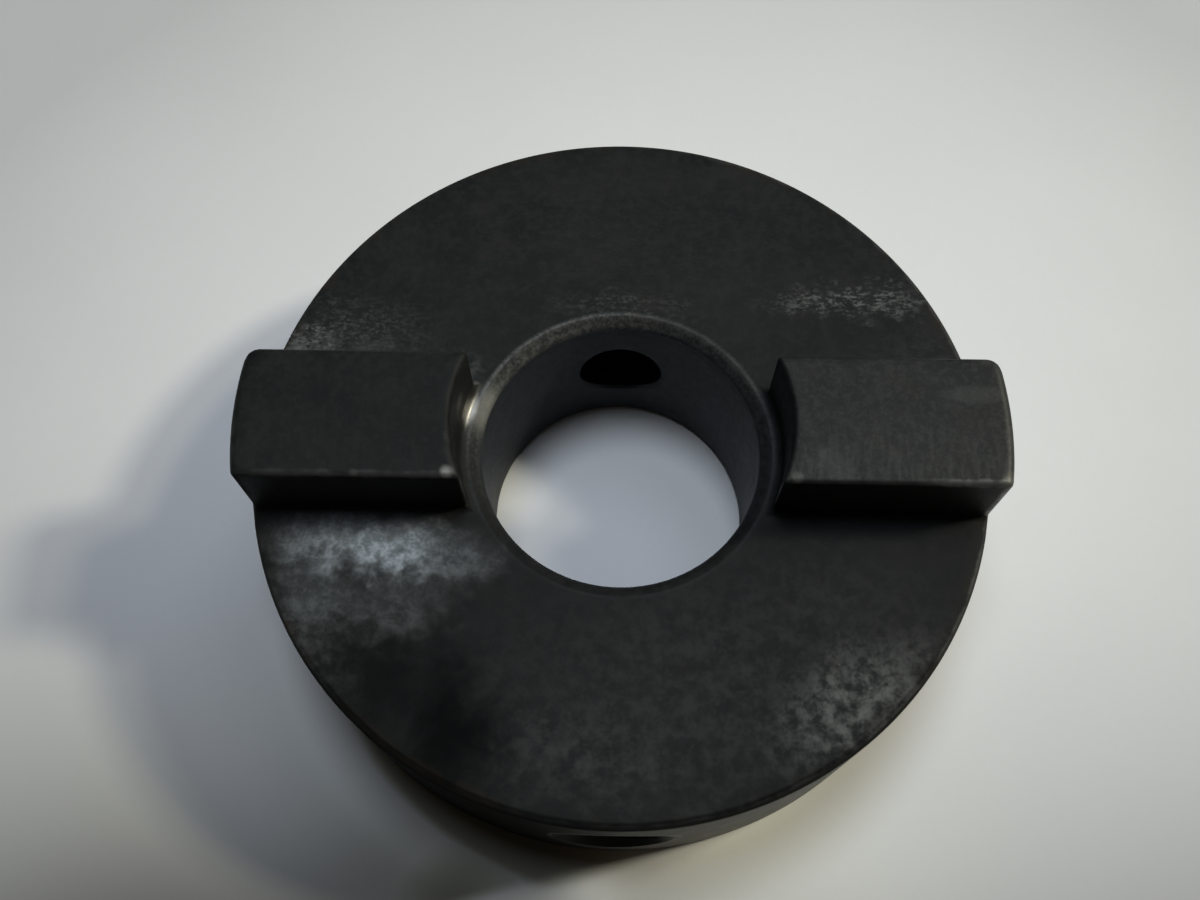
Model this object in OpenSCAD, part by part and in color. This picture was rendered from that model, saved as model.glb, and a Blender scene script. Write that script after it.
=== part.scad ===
// Drive collar: a round steel collar with two drive lugs on its face, bored for
// a plain shaft and locked to it by two opposed set screws.
// +Z runs along the bore towards the lugs. The origin is the centre of the bore
// in the back face. The lugs lie along X and the set screws along Y.

/* [Collar body] */
// Outside diameter of the collar
od = 42; // [38:0.5:50]
// Diameter of the shaft bore
bore_d = 16; // [12:0.5:17]
// Thickness of the disc, back face to front face
disc_t = 12; // [10:0.5:16]
// 45 degree chamfer at the front end of the bore
front_chamfer = 0.5; // [0.2:0.1:0.6]
// 45 degree chamfer at the back end of the bore
back_chamfer = 0.3; // [0.2:0.1:0.6]
// Edge break round both rims of the disc
rim_break = 0.25; // [0.1:0.05:0.4]

/* [Drive lugs] */
// Width across the flanks of each lug
lug_w = 7.5; // [5:0.25:10]
// Height of the lugs above the front face
lug_h = 4.8; // [2:0.2:7]
// Diameter of the counterbore that cuts the lugs' inner ends
lug_inner_d = 18.5; // [18.5:0.25:22]
// Edge break round the top of each lug
lug_break = 0.3; // [0.1:0.05:0.5]
// Radius left in the corners at the foot of the lugs
root_r = 0.4; // [0.2:0.1:0.6]

/* [Set screws] */
// Nominal diameter of the set screws
screw_d = 6; // [5:1:6]
// Thread pitch
pitch = 1; // [0.8:0.1:1]
// Length of each set screw
screw_l = 8; // [6:0.5:9]
// Width across the flats of the hexagon socket
socket_af = 3; // [2.5:0.1:3]
// Depth of the hexagon socket
socket_depth = 3; // [2:0.25:3.5]
// How far the outer end of each screw sits below the rim
screw_recess = 1; // [0.5:0.25:1.5]
// Radial clearance between a screw and its tapped hole
thread_gap = 0.03; // [0.02:0.01:0.08]
// Length of the drilled throat left at the bore end of each hole
throat_l = 0.9; // [0.6:0.1:1]

/* [Hidden] */
$fn = 96;
e = 0.02;

rim_r = od / 2;
bore_r = bore_d / 2;
inner_r = lug_inner_d / 2;
top_z = disc_t + lug_h;
half_w = lug_w / 2;
// Where the lug flank meets the rim and the counterbore
lug_outer_x = sqrt(rim_r * rim_r - half_w * half_w);
lug_inner_x = sqrt(inner_r * inner_r - half_w * half_w);
// The screw holes run through the middle of the disc
hole_z = disc_t / 2;
screw_r = screw_d / 2;
hole_r = screw_r + thread_gap;
drill_r = screw_r - pitch / 2;
screw_out_y = rim_r - screw_recess;
cup_r = screw_r / 2;
point_l = (screw_r - cup_r) * tan(45);
cup_depth = cup_r * tan(31);
hex_r = socket_af / sqrt(3);
mouth_r = hole_r + 0.35;

// Disc outline turned about the bore, with its chamfers and edge breaks
module disc_blank() {
    rotate_extrude()
        polygon([
            [bore_r + back_chamfer, 0],
            [rim_r - rim_break, 0],
            [rim_r, rim_break],
            [rim_r, disc_t - rim_break],
            [rim_r - rim_break, disc_t],
            [bore_r + front_chamfer, disc_t],
            [bore_r, disc_t - front_chamfer],
            [bore_r, back_chamfer]
        ]);
}

// Ring that stands above the face. The lugs are what the milling leaves of it
module lug_ring() {
    rotate_extrude()
        polygon([
            [inner_r, disc_t - rim_break - e],
            [rim_r, disc_t - rim_break - e],
            [rim_r, top_z - lug_break],
            [rim_r - lug_break, top_z],
            [inner_r + lug_break, top_z],
            [inner_r, top_z - lug_break]
        ]);
}

// Cross-section of the lug bar along X, with broken top edges and root fillets
module lug_section() {
    difference() {
        polygon([
            [-half_w - root_r, disc_t - rim_break - e],
            [half_w + root_r, disc_t - rim_break - e],
            [half_w + root_r, disc_t],
            [half_w, disc_t + root_r],
            [half_w, top_z - lug_break],
            [half_w - lug_break, top_z],
            [-half_w + lug_break, top_z],
            [-half_w, top_z - lug_break],
            [-half_w, disc_t + root_r],
            [-half_w - root_r, disc_t]
        ]);
        for (s = [-1, 1])
            translate([s * (half_w + root_r), disc_t + root_r])
                circle(r = root_r);
    }
}

// Both lugs: the ring cut down to a bar across the face
module lugs() {
    intersection() {
        lug_ring();
        rotate([90, 0, 90])
            translate([0, 0, -od])
                linear_extrude(2 * od)
                    lug_section();
    }
}

// One tapped screw hole. It runs out along +Y from inside the bore: a drilled
// throat, then the threaded length, then a countersunk mouth cut into the rim
module screw_hole() {
    translate([0, 0, hole_z])
        rotate([-90, 0, 0]) {
            translate([0, 0, bore_r * 0.5])
                cylinder(r = drill_r, h = bore_r * 0.5 + throat_l + e);
            translate([0, 0, bore_r + throat_l])
                cylinder(r = hole_r, h = rim_r - bore_r);
            translate([0, 0, rim_r - 0.45])
                cylinder(r1 = hole_r, r2 = mouth_r + 0.65, h = 1);
        }
}

// Turned and milled collar with its two integral drive lugs
module collar_body() {
    color([0.13, 0.13, 0.14])
        difference() {
            union() {
                disc_blank();
                lugs();
            }
            screw_hole();
            rotate([0, 0, 180]) screw_hole();
        }
}

// One set screw, lying along +Y at the height of its hole: flat socket end
// outwards, coned cup point towards the bore
module set_screw() {
    translate([0, screw_out_y, hole_z])
        rotate([90, 0, 0])
            difference() {
                rotate_extrude()
                    polygon([
                        [0, 0],
                        [screw_r - 0.5, 0],
                        [screw_r, 0.5],
                        [screw_r, screw_l - point_l],
                        [cup_r, screw_l],
                        [0, screw_l - cup_depth]
                    ]);
                translate([0, 0, -e])
                    cylinder(r = hex_r, h = socket_depth + e, $fn = 6);
            }
}

// Set screw in the front hole, on the -Y side
module set_screw_front() {
    color([0.17, 0.17, 0.18])
        rotate([0, 0, 180]) set_screw();
}

// Set screw in the rear hole, on the +Y side
module set_screw_rear() {
    color([0.17, 0.17, 0.18])
        set_screw();
}

collar_body();
set_screw_front();
set_screw_rear();
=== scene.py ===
import math

import bmesh
import bpy
import numpy as np
from mathutils import Matrix, Vector, noise


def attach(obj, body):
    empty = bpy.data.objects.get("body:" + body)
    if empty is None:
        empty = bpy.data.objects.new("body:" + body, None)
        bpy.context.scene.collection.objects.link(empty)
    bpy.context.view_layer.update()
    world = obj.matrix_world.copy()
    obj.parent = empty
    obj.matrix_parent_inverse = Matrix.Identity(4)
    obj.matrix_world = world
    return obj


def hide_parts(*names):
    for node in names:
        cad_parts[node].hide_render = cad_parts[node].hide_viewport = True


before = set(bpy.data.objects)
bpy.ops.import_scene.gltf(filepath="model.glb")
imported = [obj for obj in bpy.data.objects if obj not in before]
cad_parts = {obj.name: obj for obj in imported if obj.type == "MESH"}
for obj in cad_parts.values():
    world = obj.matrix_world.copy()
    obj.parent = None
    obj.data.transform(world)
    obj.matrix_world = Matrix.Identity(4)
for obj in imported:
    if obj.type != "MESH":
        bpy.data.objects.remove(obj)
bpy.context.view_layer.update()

# ---------------------------------------------------------------- dimensions, in millimetres
R_OD, R_BORE, R_CH, R_CHB = 21.0, 8.0, 8.5, 8.3
T_DISC, H_TOP, HALF_W, R_IN = 12.0, 16.8, 3.75, 9.25
HOLE_Z, R_MAJ, R_MIN, PITCH = 6.0, 3.03, 2.5, 1.0
Y_SEAT, Y_CONE = 8.9, 20.55
MM = 0.001


# ---------------------------------------------------------------- mesh helpers
class Build:
    """Collects grids of points, in millimetres, and welds them into one mesh."""

    def __init__(self):
        self.v, self.f, self.n = [], [], 0

    def grid(self, pts, closed=False):
        pts = np.asarray(pts, float)
        m, n = pts.shape[:2]
        base = self.n
        self.v.append(pts.reshape(-1, 3))
        self.n += m * n
        idx = base + np.arange(m * n).reshape(m, n)
        cols = n if closed else n - 1
        for j in range(cols):
            j2 = (j + 1) % n
            for i in range(m - 1):
                self.f.append((idx[i, j], idx[i, j2], idx[i + 1, j2], idx[i + 1, j]))

    def strip(self, pts, shift):
        """A closed tube of helical rows: the last column joins the first, shift rows on."""
        pts = np.asarray(pts, float)
        m, n = pts.shape[:2]
        base = self.n
        self.v.append(pts.reshape(-1, 3))
        self.n += m * n
        idx = base + np.arange(m * n).reshape(m, n)
        for j in range(n):
            for i in range(m - 1):
                if j < n - 1:
                    self.f.append((idx[i, j], idx[i, j + 1], idx[i + 1, j + 1], idx[i + 1, j]))
                elif 0 <= i + shift and i + shift + 1 < m:
                    self.f.append((idx[i, j], idx[i + shift, 0], idx[i + shift + 1, 0], idx[i + 1, j]))

    def bmesh(self, weld=2e-3):
        bm = bmesh.new()
        pts = np.concatenate(self.v)
        vs = [bm.verts.new(p) for p in pts]
        for f in self.f:
            c = [vs[i] for i in f]
            try:
                bm.faces.new(c)
            except ValueError:
                pass
        bmesh.ops.remove_doubles(bm, verts=bm.verts, dist=weld)
        bmesh.ops.dissolve_degenerate(bm, edges=bm.edges, dist=weld * 0.5)
        loose = [v for v in bm.verts if not v.link_faces]
        bmesh.ops.delete(bm, geom=loose, context="VERTS")
        bmesh.ops.recalc_face_normals(bm, faces=bm.faces)
        return bm


def turn180(p):
    return np.asarray(p, float) * np.array([-1.0, -1.0, 1.0])


# ---------------------------------------------------------------- threads
THREAD_U = [-0.0625, 0.0, 0.0625, 0.21875, 0.375, 0.5, 0.625, 0.78125]


def tooth(u, r_root, r_crest):
    """Radius of a 60 degree thread at phase u, where the crest of the screw sits at u = 0."""
    u = abs(((u + 0.5) % 1.0) - 0.5)
    k = min(max((u - 0.0625) / 0.3125, 0.0), 1.0)
    return r_crest + (r_root - r_crest) * k


def helix_y(n, u, psi):
    """Where a row of the thread lies along the hole. It falls as psi grows: a right-hand thread."""
    return n + u - psi / (2 * math.pi) * PITCH


def window(cols, rows):
    """The boundary of a patch of a structured wall, unsorted; ring_sorted orders it by its angle round the hole's
    centre.
    """
    pts = []
    for c in range(len(cols)):
        pts.append((cols[c], rows[0]))
        pts.append((cols[c], rows[-1]))
    for r in range(1, len(rows) - 1):
        pts.append((cols[0], rows[r]))
        pts.append((cols[-1], rows[r]))
    pts = np.array(pts)
    return pts


def ring_sorted(pts):
    psi = np.mod(np.arctan2(pts[:, 1] - HOLE_Z, pts[:, 0]) + 1e-6, 2 * math.pi)
    o = np.argsort(psi)
    return pts[o], psi[o] - 1e-6


def collar_mesh():
    """The collar body as one welded mesh: a turned disc, milled lugs, and two tapped holes."""
    B = Build()
    nA, nB, nT = 16, 116, 16

    def spread(n, first, last):
        """n steps from 0 to 1, with the first and last so many times wider than the rest."""
        s = np.r_[0.0, first, np.ones(n - 2), last].cumsum()
        return s / s[-1]

    yk = -HALF_W + 2 * HALF_W * spread(nA, 2.35, 2.35)
    ao, ai = np.arcsin(yk / R_OD), np.arcsin(yk / R_CH)
    bs = spread(nB, 2.6, 2.6)
    bo = ao[-1] + (math.pi - 2 * ao[-1]) * bs
    bi = ai[-1] + (math.pi - 2 * ai[-1]) * bs
    tk = spread(nT, 1.0, 1.5)
    out = np.concatenate([ao[:-1], bo[:-1], math.pi + ao[:-1], math.pi + bo[:-1]])
    inn = np.concatenate([ai[:-1], bi[:-1], math.pi + ai[:-1], math.pi + bi[:-1]])
    N = len(out)
    ring = np.stack([np.cos(inn), np.sin(inn)], 1)
    rimv = np.stack([np.cos(out), np.sin(out)], 1)
    pin, pout = R_CH * ring, R_OD * rimv
    # where each spoke crosses the counterbore's radius
    d = pout - pin
    a, b, c = (d * d).sum(1), 2 * (pin * d).sum(1), (pin * pin).sum(1) - R_IN**2
    t = (-b + np.sqrt(b * b - 4 * a * c)) / (2 * a)
    pmid = pin + d * t[:, None]

    def at(xy, z):
        return np.c_[xy, np.full(len(xy), z)]

    faces = [at(pmid + (pout - pmid) * k, 0) for k in tk]
    A1, B1, A2, B2 = 0, nA, nA + nB, 2 * nA + nB  # where each region starts

    def sel(arr, lo, hi):
        return arr[np.arange(lo, hi + 1) % N]

    # front face of the disc between the lugs, and the land round the bore
    for lo, hi in ((B1, A2), (B2, N)):
        B.grid([sel(at(pin, T_DISC), lo, hi), sel(at(pin * 0.66 + pmid * 0.34, T_DISC), lo, hi)] + [sel(f + [0, 0, T_DISC], lo, hi) for f in faces])
    for lo, hi in ((A1, B1), (A2, B2)):
        B.grid([sel(at(pin, T_DISC), lo, hi), sel(at(pin * 0.66 + pmid * 0.34, T_DISC), lo, hi), sel(at(pmid, T_DISC), lo, hi)])
        zz = np.linspace(T_DISC, H_TOP, 9)
        B.grid([sel(at(pmid, z), lo, hi) for z in zz])
        B.grid([sel(f + [0, 0, H_TOP], lo, hi) for f in faces])
        B.grid([sel(at(pout, z), lo, hi) for z in zz])
        for k in (lo, hi):
            B.grid([[f[k % N] + [0, 0, z] for f in faces] for z in zz])
    # bore: front chamfer, wall and back chamfer, then the back face
    zb = np.concatenate([[0.3, 1.4], np.linspace(2.5, 9.5, 13), [10.5, 11.5]])
    ncb = 24
    wall = np.array([at(R_BORE * ring, z) for z in zb])
    zo = np.concatenate([[0, 0.75], np.linspace(1.5, 10.5, 43), [11.25, 12.0]])
    nco = 9
    rim = np.array([at(pout, z) for z in zo])
    B.grid([at(pin, T_DISC), at((pin + R_BORE * ring) / 2, T_DISC - 0.25), at(R_BORE * ring, T_DISC - 0.5)], closed=True)
    B.grid([at(R_BORE * ring, 0.3), at(R_CHB * ring, 0.0)], closed=True)
    inner = R_CHB * ring
    B.grid([at(inner + (pout - inner) * k / 10, 0.0) for k in range(11)], closed=True)

    def wall_with_windows(W, zrows, half, lo_row, hi_row):
        """A turned wall with a square window left out on each side, where the holes come."""
        kc1, kc2 = B1 + nB // 2, B2 + nB // 2
        B.grid(W[: lo_row + 1], closed=True)
        B.grid(W[hi_row:], closed=True)
        seg = W[lo_row : hi_row + 1]
        for lo, hi in ((kc1 + half, kc2 - half), (kc2 + half, kc1 - half + N)):
            B.grid(seg[:, np.arange(lo, hi + 1) % N])
        cols = W[0, kc1 - half : kc1 + half + 1, 0]
        return window(cols, zrows[lo_row : hi_row + 1])

    win_b = wall_with_windows(wall, zb, ncb, 2, 14)
    win_o = wall_with_windows(rim, zo, nco, 2, 44)
    wb, psi_b = ring_sorted(win_b)
    wo, psi_o = ring_sorted(win_o)
    M = len(psi_o)
    assert M == len(psi_b) == 120, (M, len(psi_b))
    cs_o, sn_o = np.cos(psi_o), np.sin(psi_o)
    # countersunk mouth on the rim: the 45 degree cone meets the turned wall
    rho = np.full(M, 3.3)
    for _ in range(40):
        rho = R_MAJ + (np.sqrt(R_OD**2 - (rho * cs_o) ** 2) - Y_CONE)

    def skin(w, rho_e, psi, rad, n):
        e = np.c_[rho_e * np.cos(psi), HOLE_Z + rho_e * np.sin(psi)]
        rows = []
        for k in range(n + 1):
            q = w + (e - w) * (k / n) ** 0.8
            rows.append(np.c_[q[:, 0], np.sqrt(rad**2 - q[:, 0] ** 2), q[:, 1]])
        return rows

    rows_o = skin(wo, rho, psi_o, R_OD, 7)
    mouth = rows_o[-1]
    flat = np.c_[R_MAJ * cs_o, np.full(M, Y_CONE), HOLE_Z + R_MAJ * sn_o]
    cone = [mouth * (1 - k) + flat * k for k in (0, 0.12, 0.5, 1.0)]
    rows_b = skin(wb, np.full(M, 2.84), psi_b, R_BORE, 6)
    lip = rows_b[-1]
    throat = []
    for k in (0.0, 0.5, 1.0):
        ps = psi_b * (1 - k) + psi_o * k
        y0 = np.sqrt(R_BORE**2 - (2.84 * np.cos(psi_b)) ** 2) + 0.16
        y = y0 * (1 - k) + Y_SEAT * k
        rt = R_MIN + (0.12 if k < 1.0 else 0.0)
        throat.append(np.c_[rt * np.cos(ps), y, HOLE_Z + rt * np.sin(ps)])

    # the tapped length, in rows that follow the helix and are cut off square at both ends
    def r_tap(u, y):
        r = tooth(u, R_MIN, R_MAJ)
        r = min(r, max(R_MIN, R_MIN + 0.05 + (y - Y_SEAT)))
        return max(r, R_MAJ + (y - Y_CONE))

    per = len(THREAD_U)
    steps = [(n, u) for n in range(int(Y_SEAT) - 1, int(Y_CONE) + 3) for u in THREAD_U]
    tap = np.zeros((len(steps), M, 3))
    for i, (n, u) in enumerate(steps):
        for j in range(M):
            y = helix_y(n, u, psi_o[j])
            yy = min(max(y, Y_SEAT), Y_CONE)
            ph = u if yy == y else (yy + psi_o[j] / (2 * math.pi)) % 1.0
            r = r_tap(ph, yy)
            if yy == Y_SEAT:
                r = R_MIN
            if yy == Y_CONE:
                r = R_MAJ
            tap[i, j] = (r * cs_o[j], yy, HOLE_Z + r * sn_o[j])
    for f in (lambda p: np.asarray(p, float), turn180):
        B.grid([f(r) for r in rows_o], closed=True)
        B.grid([f(r) for r in cone], closed=True)
        B.grid([f(r) for r in rows_b], closed=True)
        B.grid([f(lip), f(throat[0])], closed=True)
        B.grid([f(r) for r in throat], closed=True)
        B.strip(f(tap), per)
    return B.bmesh()


def edge_weights(bm):
    """Radius of the edge break or root fillet on each feature edge, in millimetres, keyed by edge."""
    w = {}
    e = 5e-3
    for ed in bm.edges:
        p, q = (np.array(v.co) for v in ed.verts)
        m = (p + q) / 2
        rp, rq = math.hypot(p[0], p[1]), math.hypot(q[0], q[1])

        def both(cond):
            return cond(p, rp) and cond(q, rq)

        on_rim = both(lambda a, r: abs(r - R_OD) < e)
        on_in = both(lambda a, r: abs(r - R_IN) < e)
        on_flank = both(lambda a, r: abs(abs(a[1]) - HALF_W) < e and r > R_IN - e)
        z = lambda h: both(lambda a, r: abs(a[2] - h) < e)
        if z(T_DISC) and on_rim and abs(m[1]) > HALF_W:
            w[ed] = 0.25
        elif z(0.0) and on_rim:
            w[ed] = 0.25
        elif z(H_TOP) and on_rim:
            w[ed] = 0.45
        elif z(H_TOP) and (on_in or (on_flank and abs(p[1] - q[1]) < e)):
            w[ed] = 0.32
        elif on_rim and on_flank and m[2] > T_DISC:
            w[ed] = 0.85 if m[1] > 0 else 0.28
        elif on_in and on_flank and m[2] > T_DISC:
            w[ed] = 0.3
        elif z(T_DISC) and on_flank and abs(p[1] - q[1]) < e and abs(p[0] - q[0]) > e:
            w[ed] = 0.4
        elif z(T_DISC) and on_in and abs(m[1]) < HALF_W:
            w[ed] = 0.42
        elif z(T_DISC) and both(lambda a, r: abs(r - R_CH) < e):
            w[ed] = 0.22
        elif z(T_DISC - 0.5) and both(lambda a, r: abs(r - R_BORE) < e):
            w[ed] = 0.20
        elif z(0.3) and both(lambda a, r: abs(r - R_BORE) < e):
            w[ed] = 0.06
        elif z(0.0) and both(lambda a, r: abs(r - R_CHB) < e):
            w[ed] = 0.06
    return w
# ---------------------------------------------------------------- set screws
SCREW_OUT, SCREW_L = 20.0, 8.0


def screw_mesh():
    """M6 x 1 cup-point set screw along +Y: rolled thread, hexagon socket, coned point."""
    B = Build()
    M = 96
    psi = np.arange(M) / M * 2 * math.pi
    cs, sn = np.cos(psi), np.sin(psi)
    y1, y0 = SCREW_OUT, SCREW_OUT - SCREW_L
    r_end, r_tip = 2.38, 1.5

    def r_at(u, y):
        r = tooth(u, 2.387, 2.975)
        return min(r, r_end + (y1 - y) * 0.9, r_tip + (y - y0))

    us = [-0.0625, 0.0, 0.0625, 0.14, 0.22, 0.3, 0.375, 0.5, 0.625, 0.7, 0.78, 0.86]
    steps = [(n, u) for n in range(int(y0) - 2, int(y1) + 3) for u in us]
    rows = np.zeros((len(steps), M, 3))
    for i, (n, u) in enumerate(steps):
        for j in range(M):
            y = helix_y(n, u, psi[j])
            yy = min(max(y, y0), y1)
            r = r_at(u if yy == y else (yy + psi[j] / (2 * math.pi)) % 1.0, yy)
            rows[i, j] = (r * cs[j], yy, HOLE_Z + r * sn[j])
    B.strip(rows, len(us))

    def ring(r, y):
        r = np.broadcast_to(r, (M,))
        return np.c_[r * cs, np.full(M, y), HOLE_Z + r * sn]

    # socket end: flat ring, a small lead-in, six flats, then the drill's cone
    a = np.mod(psi, math.pi / 3) - math.pi / 6
    hexr = 1.5 / np.cos(a)
    lead = np.maximum(hexr, 1.64)
    B.grid([ring(r_end, y1), ring((r_end + lead) / 2, y1), ring(lead, y1)], closed=True)
    B.grid([ring(lead, y1), ring(hexr, y1 - 0.16)], closed=True)
    B.grid([ring(hexr, y1 - d) for d in (0.16, 0.6, 1.4, 2.2, 2.9)], closed=True)
    core = np.minimum(hexr, 1.5)
    B.grid([ring(hexr, y1 - 2.9), ring(core - 0.03, y1 - 3.0)], closed=True)
    B.grid([ring(core - 0.03, y1 - 3.0), ring(0.75, y1 - 3.42), ring(0.2, y1 - 3.72), ring(0.0, y1 - 3.78)], closed=True)
    # cup point: a narrow ring that bites, round a coned hollow
    B.grid([ring(r_tip, y0), ring(1.38, y0)], closed=True)
    B.grid([ring(1.38, y0), ring(0.7, y0 + 0.42), ring(0.2, y0 + 0.76), ring(0.0, y0 + 0.84)], closed=True)
    return B.bmesh(weld=1e-3)
# ---------------------------------------------------------------- material helpers
class S:
    """A shader socket that can be written as arithmetic."""

    def __init__(self, g, s):
        self.g, self.s = g, s

    def __add__(self, o):
        return self.g.m("ADD", self, o)

    __radd__ = __add__

    def __sub__(self, o):
        return self.g.m("SUBTRACT", self, o)

    def __rsub__(self, o):
        return self.g.m("SUBTRACT", o, self)

    def __mul__(self, o):
        return self.g.m("MULTIPLY", self, o)

    __rmul__ = __mul__

    def __truediv__(self, o):
        return self.g.m("DIVIDE", self, o)

    def abs(self):
        return self.g.m("ABSOLUTE", self)

    def clip(self):
        return self.g.m("ADD", self, 0.0, clamp=True)


class Graph:
    """A material's node tree."""

    def __init__(self, name):
        self.mat = bpy.data.materials.new(name)
        self.mat.use_nodes = True
        self.t = self.mat.node_tree
        self.t.nodes.clear()

    def new(self, kind, **kw):
        n = self.t.nodes.new(kind)
        for k, v in kw.items():
            setattr(n, k, v)
        return n

    def put(self, sock, v):
        if isinstance(v, S):
            self.t.links.new(v.s, sock)
        elif v is not None:
            sock.default_value = v

    def m(self, op, *a, clamp=False):
        n = self.new("ShaderNodeMath", operation=op, use_clamp=clamp)
        for k, v in enumerate(a):
            self.put(n.inputs[k], v)
        return S(self, n.outputs[0])

    def vm(self, op, *a, out=0):
        n = self.new("ShaderNodeVectorMath", operation=op)
        for k, v in enumerate(a):
            if op == "SCALE" and k == 1:
                self.put(n.inputs["Scale"], v)
            else:
                self.put(n.inputs[k], v)
        return S(self, n.outputs[out])

    def xyz(self, v):
        n = self.new("ShaderNodeSeparateXYZ")
        self.put(n.inputs[0], v)
        return [S(self, o) for o in n.outputs]

    def join(self, x, y, z):
        n = self.new("ShaderNodeCombineXYZ")
        for k, v in enumerate((x, y, z)):
            self.put(n.inputs[k], v)
        return S(self, n.outputs[0])

    def step(self, x, lo, hi, a=0.0, b=1.0):
        """Smooth change from a at lo to b at hi."""
        n = self.new("ShaderNodeMapRange", interpolation_type="SMOOTHSTEP", clamp=True)
        for k, v in zip(("Value", "From Min", "From Max", "To Min", "To Max"), (x, lo, hi, a, b)):
            self.put(n.inputs[k], v)
        return S(self, n.outputs[0])

    def noise(self, vec, scale, detail=2.0, rough=0.5, dist=0.0, w=None):
        n = self.new("ShaderNodeTexNoise", noise_dimensions="3D")
        self.put(n.inputs["Vector"], vec)
        n.inputs["Scale"].default_value = scale
        n.inputs["Detail"].default_value = detail
        n.inputs["Roughness"].default_value = rough
        n.inputs["Distortion"].default_value = dist
        return S(self, n.outputs[0])

    def cells(self, vec, scale, feature="F1", rand=1.0):
        n = self.new("ShaderNodeTexVoronoi", feature=feature)
        self.put(n.inputs["Vector"], vec)
        n.inputs["Scale"].default_value = scale
        n.inputs["Randomness"].default_value = rand
        return S(self, n.outputs["Distance"]), n

    def mix(self, f, a, b):
        n = self.new("ShaderNodeMix", data_type="RGBA", clamp_factor=True)
        self.put(n.inputs["Factor"], f)
        for name, v in (("A", a), ("B", b)):
            sock = [i for i in n.inputs if i.name == name and i.type == "RGBA"][0]
            if isinstance(v, S):
                self.t.links.new(v.s, sock)
            else:
                sock.default_value = (*v, 1.0) if len(v) == 3 else v
        return S(self, [o for o in n.outputs if o.type == "RGBA"][0])

    def lerp(self, f, a, b):
        return a + (b - a) * f if isinstance(b, S) or isinstance(a, S) else f * (b - a) + a

    def bump(self, height, distance, strength=1.0, normal=None):
        n = self.new("ShaderNodeBump")
        n.inputs["Strength"].default_value = strength
        n.inputs["Distance"].default_value = distance
        self.put(n.inputs["Height"], height)
        if normal is not None:
            self.put(n.inputs["Normal"], normal)
        return S(self, n.outputs[0])

    def surface(self, **kw):
        p = self.new("ShaderNodeBsdfPrincipled")
        for k, v in kw.items():
            self.put(p.inputs[k.replace("_", " ")], v)
        o = self.new("ShaderNodeOutputMaterial")
        self.t.links.new(p.outputs[0], o.inputs[0])
        return p


def place(g):
    """Position in millimetres, its parts, the radius from the bore's axis, and the surface normal."""
    tc = g.new("ShaderNodeTexCoord")
    p = g.vm("SCALE", S(g, tc.outputs["Object"]), 1000.0)
    x, y, z = g.xyz(p)
    r = g.m("SQRT", x * x + y * y)
    n = g.xyz(S(g, tc.outputs["Normal"]))
    return p, x, y, z, r, n
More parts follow.
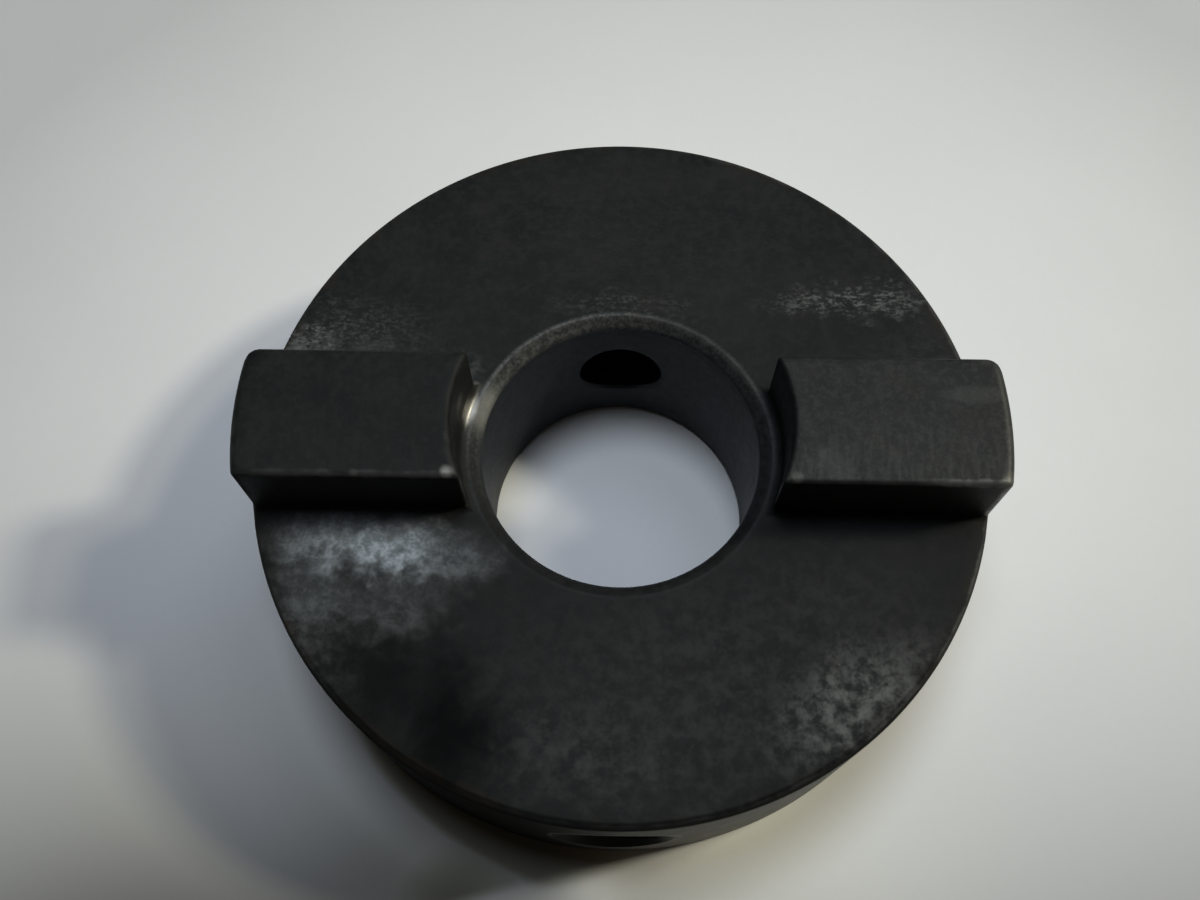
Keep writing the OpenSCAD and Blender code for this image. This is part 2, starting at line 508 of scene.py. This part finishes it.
# ---------------------------------------------------------------- materials
def black_oxide():
    """Blued machine steel: near-black oxide with a mottled sheen that is partly rubbed surface and partly painted
    reflection, painted shade and highlights, and bright worn edges that are partly painted highlight.
    """
    g = Graph("black_oxide_steel")
    p, x, y, z, r, n = place(g)
    ay = y.abs()
    up = g.step(n[2], 0.8, 0.97)
    side = 1.0 - g.step(n[2].abs(), 0.2, 0.5)
    above = g.step(z, 12.35, 12.8)
    bore = g.step(r, 8.35, 8.1)

    def dist(a, b):
        return g.m("SQRT", a * a + b * b)

    # distance to the edges that rub
    lat = g.m("MINIMUM", (ay - 3.66).abs(), g.m("MINIMUM", (r - 20.9).abs(), (r - 9.35).abs()))
    far_lug = g.m("LESS_THAN", ay, 3.8) * 10.0
    low = g.m("LESS_THAN", z, 12.3) * 10.0
    d_rim = dist(r - 20.93, z - 11.93) + far_lug
    d_rim_b = dist(r - 20.93, z - 0.07)
    d_top = dist(z - 16.72, lat)
    d_vo = dist(ay - 3.6, r - 20.85) + low
    d_vi = dist(ay - 3.66, r - 9.34) + low
    d_lug = g.m("MINIMUM", d_top, g.m("MINIMUM", d_vo, d_vi))
    d_edge = g.m("MINIMUM", d_lug, g.m("MINIMUM", d_rim, d_rim_b))
    ring = g.step(r, 9.0, 8.72) * g.step(z, 11.2, 11.5)
    # the rubbed side of the bore's mouth: all but the near arc, most on the left, where it also paints the key
    # light's glint on the chamfer
    mouth_wear_and_glint = ring * g.step(y, -6.5, 5.5, 0.0, 0.75) * g.step(x, 7.5, -7.0, 0.35, 1.0)
    mouth_wear_and_glint = mouth_wear_and_glint * (1.0 - g.step(y, 1.2, -1.2) * g.step(x, 0.0, -6.0) * 0.5)

    # noise at several sizes
    cloud = g.noise(p, 0.12, 3.0, 0.55)
    blot = g.noise(g.vm("ADD", p, (31.0, 7.0, 3.0)), 0.42, 4.0, 0.6, 0.4)
    mottle = g.noise(g.vm("ADD", p, (4.0, 50.0, 9.0)), 0.95, 2.0, 0.5, 0.2)
    grit = g.noise(p, 2.3, 2.0, 0.55)
    fine = g.noise(p, 5.2, 2.0, 0.6)
    dash = g.noise(g.vm("MULTIPLY", p, (1.3, 3.0, 1.0)), 1.7, 2.0, 0.6)
    speck = mottle * 0.44 + grit * 0.38 + fine * 0.18

    # the left land round the bore: rubbed steel with a painted highlight of the key light
    land_rub_and_glint = g.step(r, 9.42, 9.18) * g.step(z, 11.1, 11.5) * g.step(z, 12.9, 12.5) * g.step(x, -6.0, -7.4) * g.step(ay, 4.6, 3.2)
    # a painted highlight of the key light on the left land, round y = 2.2
    land_highlight = land_rub_and_glint * g.step((y - 2.2).abs() + (r - 8.98).abs() * 1.6 + (grit - 0.5) * 0.5, 1.35, 0.25) * g.step(r, 8.52, 8.74)
    land_rub_and_glint = land_rub_and_glint * 0.26 * g.step(y, 0.2, 2.1, 0.0, 1.0) * g.step(r, 8.5, 8.72, 0.3, 1.0)
    crease = g.step((r - 8.5).abs(), 0.24, 0.1) * g.step(z, 11.3, 11.6) * g.step(z, 12.3, 12.1)

    # painted highlight of the key light on the left of the bore's chamfer
    chamfer_highlight = g.step(r, 8.8, 8.55) * g.step(z, 11.3, 11.5) * g.step(x, -6.5, -7.6) * g.step((y - 2.5).abs() + (grit - 0.5) * 0.9, 1.9, 0.3)

    # patches on the front face, partly rubbed surface and partly painted sheen and dark reflection: centre, half
    # sizes, turn, strength
    bx = x + (blot - 0.5) * 5.0
    by = y + (cloud - 0.5) * 2.0 + (mottle - 0.5) * 3.0

    def blob(cx, cy, rx, ry, deg, k):
        c, s = math.cos(math.radians(deg)), math.sin(math.radians(deg))
        u = ((bx - cx) * c + (by - cy) * s) / rx
        v = ((by - cy) * c - (bx - cx) * s) / ry
        return g.step(dist(u, v), 1.2, 0.1) * k

    def gather(items):
        t = None
        for b in items:
            t = blob(*b) if t is None else t + blob(*b)
        return t

    # painted sheen: the overhead light's reflection on the front face, partly the rubbed surface
    rub_and_painted_sheen = gather((
        (-13.4, -5.9, 6.4, 2.2, -6, 0.68),
        (-13.2, -6.6, 3.6, 1.7, -12, 0.42),
        (-17.4, -6.2, 2.6, 1.8, 0, 0.30),
        (-17.0, -9.0, 2.8, 2.6, 0, 0.34),
        (-8.8, -7.6, 2.6, 2.0, 0, 0.16),
        (-12.4, -9.6, 3.8, 2.0, 0, 0.30),
    ))
    # bright bands and haze on the face: partly painted sheen of the lights, partly the surface's own grain
    haze_and_painted_sheen = gather((
        (14.0, 9.8, 5.6, 1.3, 0, 0.95),
        (12.6, -14.0, 5.6, 2.8, 38, 0.86),
        (-2.5, -17.0, 6.5, 3.0, -4, 0.13),
        (5.0, -14.0, 15.0, 8.5, 0, 0.13),
        (13.0, -8.5, 6.0, 3.6, 0, 0.05),
        (0.0, 14.0, 18.0, 7.0, 0, 0.04),
        (-16.2, -12.2, 3.4, 3.6, 0, 0.30),
        (-19.6, 6.4, 3.0, 1.7, 0, 1.25),
        (-16.6, 7.4, 6.0, 2.4, 0, 0.42),
        (0.0, 9.4, 5.0, 1.0, 0, 0.30),
        (-9.6, 5.0, 2.0, 1.6, 0, 0.30),
        (17.5, 6.6, 3.0, 1.6, 0, 0.12),
    ))
    # a dark patch on the near face: painted dark reflection, partly the face's own darker patch
    dark_patch_and_reflection = blob(-8.9, -16.0, 3.6, 6.2, 16, 1.0)
    dark_patch_and_reflection = g.m("MAXIMUM", dark_patch_and_reflection, blob(-12.6, -13.2, 5.0, 3.6, -40, 0.75))
    face = up * (1.0 - above)
    keep = 1.0 - dark_patch_and_reflection * 0.9
    rub_and_painted_sheen = rub_and_painted_sheen * face * keep
    haze_and_painted_sheen = haze_and_painted_sheen * face * keep
    lug_r = up * above * g.step(x, -2.0, 2.0)
    lug_l = up * above * g.step(x, 2.0, -2.0)

    spots = g.step(speck, 0.37, 0.67)
    dots = g.step(grit * 0.35 + fine * 0.65, 0.44, 0.62)
    dashes = g.step(dash * 0.6 + fine * 0.4, 0.44, 0.64)
    grain = g.lerp(g.step(y, 5.0, 8.0), spots, dashes)
    # the painted sheen and haze, speckled by the surface's grain
    film_and_painted_sheen = rub_and_painted_sheen * (0.44 + spots * 0.74 + dots * 0.16) + haze_and_painted_sheen * (0.03 + grain * 0.95)
    comb = g.noise(g.vm("MULTIPLY", p, (2.6, 0.5, 1.0)), 1.3, 2.0, 0.6)
    film = lug_r * (0.05 + dots * 0.08 + mottle * 0.05 + g.step(y, 1.0, -3.2) * g.step(comb, 0.42, 0.64) * 0.10) + lug_l * (dots * 0.015 + g.step(comb, 0.45, 0.65) * 0.012)
    patch = g.step(dist(x - 18.9, (y - 1.5) * 3.0) + (mottle - 0.5) * 2.0, 2.0, 0.8) + g.step(dist(x - 11.2, y + 2.6) + (mottle - 0.5) * 2.0, 1.5, 0.4)
    # film and patches on the right lug, a painted reflection of the lit paper on the right of the rim's side, and a
    # lighter bore
    film_and_painted_sheen = film_and_painted_sheen + film + patch * lug_r * 0.13 + side * g.step(r, 20.5, 20.8) * (0.06 + grit * 0.12) * g.step(x, -12.0, 8.0, 0.1, 1.0) + bore * 0.03

    # worn edges, broken up along their length; on the lugs they are partly painted highlight, and on the right lug's
    # outer end a painted glint
    wn = g.noise(g.vm("ADD", p, (11.0, 2.0, 8.0)), 0.7, 2.0, 0.6)
    wide = g.step(wn, 0.30, 0.72, 0.06, 0.26)
    wear_rim = g.step(g.m("MINIMUM", d_rim, d_rim_b) - wide, 0.12, -0.10) * g.step(x, -6.0, 12.0, 0.15, 0.6)
    lug_wear_and_glint = g.step(d_lug - wide, 0.16, -0.14) * g.step(y, 1.5, -3.4, 0.30, 1.0) * g.step(wn, 0.32, 0.6, 0.45, 1.0) * (g.step(x, 15.2, 17.8) * 0.9 + g.step(x, 3.0, -3.0) * 0.22 + 0.06)
    lug_wear_and_glint = lug_wear_and_glint * g.step((r - 9.35).abs(), 0.0, 0.6, 0.45, 1.0)
    right_end_glint = lug_r * 0.0 + g.step((r - 20.75).abs(), 0.35, 0.05) * g.step(z, 15.6, 16.3) * g.step(x, 0.0, 5.0)
    wear_and_glint = g.m("MAXIMUM", wear_rim * 0.5, g.m("MAXIMUM", lug_wear_and_glint, right_end_glint * 0.30))
    hole_q = dist(x, z - 6.0)
    # rubbed steel round the hole's mouth, strongest on its upper lip, where it is partly a painted highlight
    lip = g.step((hole_q - 3.62).abs() + (grit - 0.5) * 0.15, 0.20, 0.05) * g.step(r, 20.2, 20.6) * g.step(z, 4.6, 6.2, 0.3, 1.0)
    # bright knocks on corners, partly painted highlight; the spot on the left lug's inner wall is a painted glint
    knocks_and_glints = None
    for c, rad, k0, rag in (
        ((-9.2, -3.42, 16.78), 0.50, 1.0, 0.25), ((9.28, -3.42, 16.78), 0.42, 0.30, 0.25), ((20.3, -3.45, 16.7), 0.50, 0.55, 0.5),
        ((-14.1, -3.58, 16.8), 0.34, 0.22, 0.4), ((18.2, -3.6, 16.75), 0.30, 0.3, 0.5), ((-9.12, 1.65, 14.3), 0.85, 0.30, 0.4),
        ((-8.5, 3.95, 12.0), 0.30, 0.45, 0.5),
    ):
        dd = g.vm("DISTANCE", p, c, out=1)
        k = g.step(dd + ((grit - 0.5) * 0.6 + (mottle - 0.5) * rad) * rag, rad, rad * 0.12) * k0
        knocks_and_glints = k if knocks_and_glints is None else g.m("MAXIMUM", knocks_and_glints, k)

    # colour: oxide with cool and warm drift and a painted dark reflection, then the grey of thin oxide and of the
    # painted sheen and reflections, then bare steel and painted highlights
    tone = g.step(cloud * 0.5 + blot * 0.5, 0.36, 0.64)
    oxide = g.mix(tone, (0.0088, 0.0098, 0.0100), (0.0138, 0.0144, 0.0136))
    oxide = g.mix(g.step(mottle * 0.4 + grit * 0.6, 0.42, 0.62) * 0.40, oxide, (0.0215, 0.022, 0.0215))
    oxide = g.mix(g.step(blot, 0.60, 0.72) * 0.16, oxide, (0.021, 0.0175, 0.013))
    oxide = g.mix(face * g.step(y, 0.0, -8.0) * 0.42 + lug_l * 0.18, oxide, (0.004, 0.0042, 0.0042))
    # painted dark reflection on the near face
    oxide = g.mix(dark_patch_and_reflection * face * 0.9, oxide, (0.0030, 0.0032, 0.0034))
    oxide = g.mix(bore * 0.6, oxide, (0.0150, 0.0166, 0.0195))
    # painted shade: a dark band on the face just inside the near rim
    rim_shade = g.step(r, 20.48, 20.68) * g.step(z, 11.75, 11.9) * g.step(z, 12.3, 12.1) * g.step(y, -9.0, -15.0)
    # the painted sheen turns bluish, the colour of the overhead light it stands for
    sheen_amount = rub_and_painted_sheen.clip()
    film_and_sheen_grey = g.mix(sheen_amount, (0.098, 0.100, 0.093), (0.215, 0.240, 0.255))
    steel = g.mix(fine, (0.15, 0.147, 0.135), (0.26, 0.252, 0.23))
    col = g.mix(film_and_painted_sheen * 0.75, oxide, film_and_sheen_grey)
    rim_side = side * g.step(r, 20.5, 20.8)
    streak = g.noise(g.vm("MULTIPLY", p, (0.35, 0.35, 3.2)), 1.6, 3.0, 0.6)
    reflection_streaks = g.step(streak * 0.5 + mottle * 0.3 + fine * 0.2, 0.40, 0.62, 0.55, 1.35)
    # painted reflection of the lit, warm paper on the right of the rim's side, in streaks
    col = g.mix(rim_side * g.step(x, -3.0, 8.5, 0.02, 0.62) * reflection_streaks, col, (0.116, 0.112, 0.084))
    # bare steel on worn edges and the bore's mouth, partly painted highlight
    col = g.mix(wear_and_glint * 0.28, col, steel)
    col = g.mix(mouth_wear_and_glint * g.step(grit * 0.45 + fine * 0.55, 0.40, 0.60, 0.35, 1.25) * 0.33 * (1.0 - crease * 0.4), col, steel)
    # painted highlights of the key light on the bore's left land and chamfer
    col = g.mix(land_rub_and_glint * 0.30, col, steel)
    col = g.mix(chamfer_highlight * 0.42, col, (0.30, 0.295, 0.262))
    col = g.mix(land_highlight * 0.8, col, (0.36, 0.35, 0.315))
    col = g.mix(lip * 0.5, col, steel)
    col = g.mix(knocks_and_glints * 0.8, col, steel)
    bloom = g.step(blot, 0.46, 0.66) * g.step(g.m("MINIMUM", d_rim, d_rim_b), 0.8, 0.1)
    col = g.mix(bloom * 0.32, col, (0.034, 0.022, 0.013))

    # painted shade along the near rim of the face
    col = g.mix(rim_shade * 0.72, col, (0.0036, 0.0037, 0.0034))

    rough = 0.54 + rim_side * g.step(x, 2.0, -6.0) * 0.2 + crease * 0.22 + rim_side * (streak - 0.5) * 0.35 + (grit - 0.5) * 0.22 + (blot - 0.5) * 0.16 - sheen_amount * 0.10 - wear_and_glint * 0.12 - ring * 0.06 - land_rub_and_glint * 0.20 - land_highlight * 0.12
    rough = g.m("MINIMUM", g.m("MAXIMUM", rough, 0.24), 0.8)
    metal = (1.0 - crease * 0.7) * (film_and_painted_sheen * 0.15 + wear_and_glint * 0.30 + knocks_and_glints * 0.5 + mouth_wear_and_glint * 0.15 + land_rub_and_glint * 0.45 + land_highlight * 0.12 + lip * 0.3)
    metal = metal.clip()
    spec = (0.07 + film_and_painted_sheen * 0.35 + wear_and_glint * 0.4 + (mouth_wear_and_glint * 0.30 + land_rub_and_glint * 0.5 + land_highlight * 0.5) * (1.0 - crease * 0.85) + bore * 0.12 + side * g.step(r, 20.5, 20.8) * g.step(x, -5.0, 6.0, -0.05, 0.45) - dark_patch_and_reflection * face * 0.06 - rim_shade * 0.06).clip()

    # relief: cutter marks along X on the milled face and lugs, turning marks round the rim and bore
    warp = g.noise(p, 0.5, 1.0, 0.5)
    mill = g.m("SINE", (y + warp * 0.6) * (2 * math.pi / 0.32)) * up
    turn = g.m("SINE", (z + warp * 0.12) * (2 * math.pi / 0.16)) * side * g.m("MAXIMUM", bore, g.step(r, 20.5, 20.8))
    scr = g.noise(g.vm("MULTIPLY", p, (0.5, 9.0, 2.0)), 1.4, 2.0, 0.6)
    h = grit * 0.7 + fine * 0.5 + mill * 0.05 + turn * 0.10 + scr * 0.20 * up
    nrm = g.bump(h, 0.000012, 0.9)
    g.surface(Base_Color=col, Roughness=rough, Metallic=metal, Normal=nrm, Specular_IOR_Level=spec)
    return g.mat


def screw_steel():
    """Set screw steel: blackened all over, rubbed bright on the thread crests and the socket's edges."""
    g = Graph("set_screw_steel")
    p, x, y, z, r, n = place(g)
    q = g.m("SQRT", x * x + (z - 6.0) * (z - 6.0))
    grit = g.noise(p, 3.2, 3.0, 0.6)
    fine = g.noise(p, 9.0, 2.0, 0.6)
    blot = g.noise(p, 0.9, 3.0, 0.6)
    crest = g.step(q + (grit - 0.5) * 0.14, 2.86, 2.97)
    lip = g.step((q - 1.72).abs() + (grit - 0.5) * 0.2, 0.22, 0.06) * g.step(n[1].abs(), 0.5, 0.9)
    oxide = g.mix(g.step(blot, 0.38, 0.62), (0.012, 0.012, 0.013), (0.022, 0.022, 0.022))
    steel = g.mix(fine, (0.16, 0.16, 0.155), (0.30, 0.295, 0.28))
    bare = g.m("MAXIMUM", crest * 0.45, lip * 0.6) * g.step(blot, 0.35, 0.6, 0.35, 1.0)
    col = g.mix(bare, oxide, steel)
    rough = 0.38 + (grit - 0.5) * 0.25 - bare * 0.08
    h = grit * 0.5 + fine * 0.5
    g.surface(Base_Color=col, Roughness=rough, Metallic=bare * 0.8, Normal=g.bump(h, 0.000008, 0.8), Specular_IOR_Level=0.3)
    return g.mat


def paper():
    """Plain pale paper. The light on it falls off towards the near side, most at the near left."""
    g = Graph("paper_floor")
    tc = g.new("ShaderNodeTexCoord")
    p = g.vm("SCALE", S(g, tc.outputs["Object"]), 1000.0)
    x, y, z = g.xyz(p)

    def away(cx, cy):
        return (x - cx) * (x - cx) + (y - cy) * (y - cy)

    fall = 1.083 - g.m("MINIMUM", away(3.5, -4.2) * 0.000109, 0.40)
    fall = fall - g.m("EXPONENT", away(-20.7, -44.5) * -0.001217) * 1.25
    fall = fall - g.m("EXPONENT", away(38.3, -60.0) * -0.000764) * 1.056
    # below 0.35 the falloff eases out to a floor, so it has no hard edge
    fall = g.m("SMOOTH_MAX", fall, 0.14, 0.25)
    fibre = g.noise(p, 1.6, 3.0, 0.6)
    cloud = g.noise(p, 0.06, 3.0, 0.55)
    k = fall * ((cloud - 0.5) * 0.08 + (fibre - 0.5) * 0.03 + 1.0)
    # the shade in front of the disc is deep on the left, and the lit paper beside it is light and warm
    rr = g.m("SQRT", x * x + y * y)

    def lobe(cx, cy, sx, sy):
        u, v = (x - cx) / sx, (y - cy) / sy
        return g.m("EXPONENT", (u * u + v * v) * -1.0)

    # the umbra lies inside the disc's shadow under the overhead light, beyond the edge of the key's shadow
    umb = g.m("SQRT", (x - 1.77) * (x - 1.77) + (y + 3.16) * (y + 3.16))
    edge_k = x * 0.296 - y * 0.955
    umbra = g.step(umb, 21.4, 20.3) * g.step(edge_k, 21.4, 20.1) * g.step(x, -19.0, -14.5) * g.step(x, 2.5, -2.0)
    umbra = umbra * g.step(rr, 12.0, 16.0)
    pool = lobe(-9.3, -23.5, 4.2, 2.8) * g.step(edge_k, 20.9, 19.8)
    deep = g.m("MAXIMUM", g.m("MAXIMUM", lobe(-13.0, -22.5, 5.0, 4.0) * 0.50, pool), umbra * 0.92)
    near = lobe(8.0, -23.5, 11.0, 9.0) * g.step(x, -5.0, 0.0)
    rim_gap = (rr - 20.6) / 1.7
    beside = g.m("EXPONENT", rim_gap * rim_gap * -1.0) * g.step(x, -4.2, -1.5) * g.step(x, 15.0, 5.0) * g.step(y, -12.0, -17.0)
    beside = beside * 0.42 + lobe(-1.4, -22.9, 2.0, 1.5) * 0.75
    k = k * (1.0 + near * 0.27 + beside) * (1.0 - deep * 0.62)
    # the disc's half shadow on the left is a little lighter and warmer than the key and the overhead light leave it
    soft = lobe(-27.0, -19.0, 11.0, 9.0)
    k = k * (1.0 + soft * 0.07)
    warm = near * 0.08 + deep * 0.30 + soft * 0.07
    col = g.join(k * 0.765, k * (0.765 - warm * 0.12), k * (0.762 - warm * 0.60))
    g.surface(Base_Color=col, Roughness=0.95, Normal=g.bump(fibre, 0.00002, 0.35), Specular_IOR_Level=0.15)
    return g.mat
# ---------------------------------------------------------------- pieces
def shade(me, angle):
    """Smooth shading with the edges over an angle kept sharp."""
    me.polygons.foreach_set("use_smooth", [True] * len(me.polygons))
    me.set_sharp_from_angle(angle=math.radians(angle))


def to_object(bm, name):
    me = bpy.data.meshes.new(name)
    bm.to_mesh(me)
    bm.free()
    ob = bpy.data.objects.new(name, me)
    bpy.context.scene.collection.objects.link(ob)
    return ob


def scaled(me, k=MM):
    me.transform(Matrix.Scale(k, 4))
    me.update()


def unfold(me):
    """Close up the small quads that fold over where two root fillets meet on the front face."""
    bm = bmesh.new()
    bm.from_mesh(me)
    for f in [f for f in bm.faces if f.normal.z < -0.5 and f.calc_center_median().z > T_DISC - 0.1]:
        c = sum((v.co for v in f.verts), Vector()) / len(f.verts)
        bmesh.ops.pointmerge(bm, verts=list(f.verts), merge_co=c)
    bm.to_mesh(me)
    bm.free()


def make_collar():
    bm = collar_mesh()
    lay = bm.edges.layers.float.new("bevel_weight_edge")
    for ed, w in edge_weights(bm).items():
        ed[lay] = w
    rough = to_object(bm, "collar_rough")
    mod = rough.modifiers.new("edges", "BEVEL")
    mod.width, mod.segments, mod.limit_method = 1.0, 4, "WEIGHT"
    mod.use_clamp_overlap, mod.offset_type, mod.loop_slide = False, "OFFSET", True
    dg = bpy.context.evaluated_depsgraph_get()
    me = bpy.data.meshes.new_from_object(rough.evaluated_get(dg), depsgraph=dg)
    bpy.data.objects.remove(rough)
    me.name = "collar_body_surface"
    unfold(me)
    scaled(me)
    shade(me, 32)
    ob = bpy.data.objects.new("collar_body_surface", me)
    bpy.context.scene.collection.objects.link(ob)
    return ob


def make_screw(name, flip):
    bm = screw_mesh()
    if flip:
        bmesh.ops.rotate(bm, verts=bm.verts, cent=(0, 0, 0), matrix=Matrix.Rotation(math.pi, 3, "Z"))
    ob = to_object(bm, name)
    scaled(ob.data)
    shade(ob.data, 28)
    return ob


oxide_mat, screw_mat = black_oxide(), screw_steel()
collar = make_collar()
collar.data.materials.clear()
collar.data.materials.append(oxide_mat)
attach(collar, "collar")
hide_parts("collar_body")
for name, node, body, flip in (
    ("set_screw_front_threaded", "set_screw_front", "front_screw", True),
    ("set_screw_rear_threaded", "set_screw_rear", "rear_screw", False),
):
    s = make_screw(name, flip)
    s.data.materials.append(screw_mat)
    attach(s, body)
    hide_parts(node)

# ---------------------------------------------------------------- floor, lights and camera
bm = bmesh.new()
bmesh.ops.create_grid(bm, x_segments=2, y_segments=2, size=1.5)
floor = to_object(bm, "floor")
floor.data.materials.append(paper())
floor.location.z = -0.00002


def area(name, az, el, dist, size, power, colour, at=(0, 0, 0.006)):
    """A disc light at azimuth az from +X towards +Y, elevation el, in degrees."""
    a, e = math.radians(az), math.radians(el)
    d = Vector((math.cos(a) * math.cos(e), math.sin(a) * math.cos(e), math.sin(e)))
    li = bpy.data.lights.new(name, "AREA")
    li.shape, li.size, li.energy, li.color = "DISK", size, power, colour
    ob = bpy.data.objects.new(name, li)
    bpy.context.scene.collection.objects.link(ob)
    ob.location = Vector(at) + d * dist
    ob.rotation_euler = d.to_track_quat("Z", "Y").to_euler()
    return ob


area("key", 14.5, 42.5, 0.60, 0.074, 1.62, (1.0, 0.963, 0.773))
area("key_high", 23.0, 48.5, 0.60, 0.062, 0.57, (1.0, 0.963, 0.773))
area("overhead", 108, 80.5, 0.40, 0.128, 0.659, (0.779, 0.878, 1.0))
area("back", 62, 61, 0.50, 0.185, 0.275, (0.79, 0.82, 1.0))

world = bpy.data.worlds.new("studio")
world.use_nodes = True
world.node_tree.nodes["Background"].inputs[0].default_value = (1.0, 0.85, 0.70, 1.0)
world.node_tree.nodes["Background"].inputs[1].default_value = 0.035
sc = bpy.context.scene
sc.world = world
sc.view_settings.view_transform = "Standard"
sc.view_settings.look = "None"
sc.view_settings.exposure = 0.0
sc.view_settings.gamma = 1.0

cam = bpy.data.cameras.new("camera")
cam.sensor_fit, cam.sensor_width, cam.lens = "HORIZONTAL", 36.0, 36.866
cam.clip_start, cam.clip_end = 0.002, 10.0
cam_ob = bpy.data.objects.new("camera", cam)
sc.collection.objects.link(cam_ob)
# columns: right, up and back of the camera, then its place, in the part's frame
right = Vector((0.9998587, 0.0167634, -0.0012268))
upv = Vector((-0.0150207, 0.9238984, 0.3823428))
back = Vector((0.0075429, -0.3822704, 0.9240197))
loc = Vector((-0.0006403, -0.0269543, 0.0769573))
cam_ob.matrix_world = Matrix((
    (right.x, upv.x, back.x, loc.x),
    (right.y, upv.y, back.y, loc.y),
    (right.z, upv.z, back.z, loc.z),
    (0, 0, 0, 1),
))
sc.camera = cam_ob
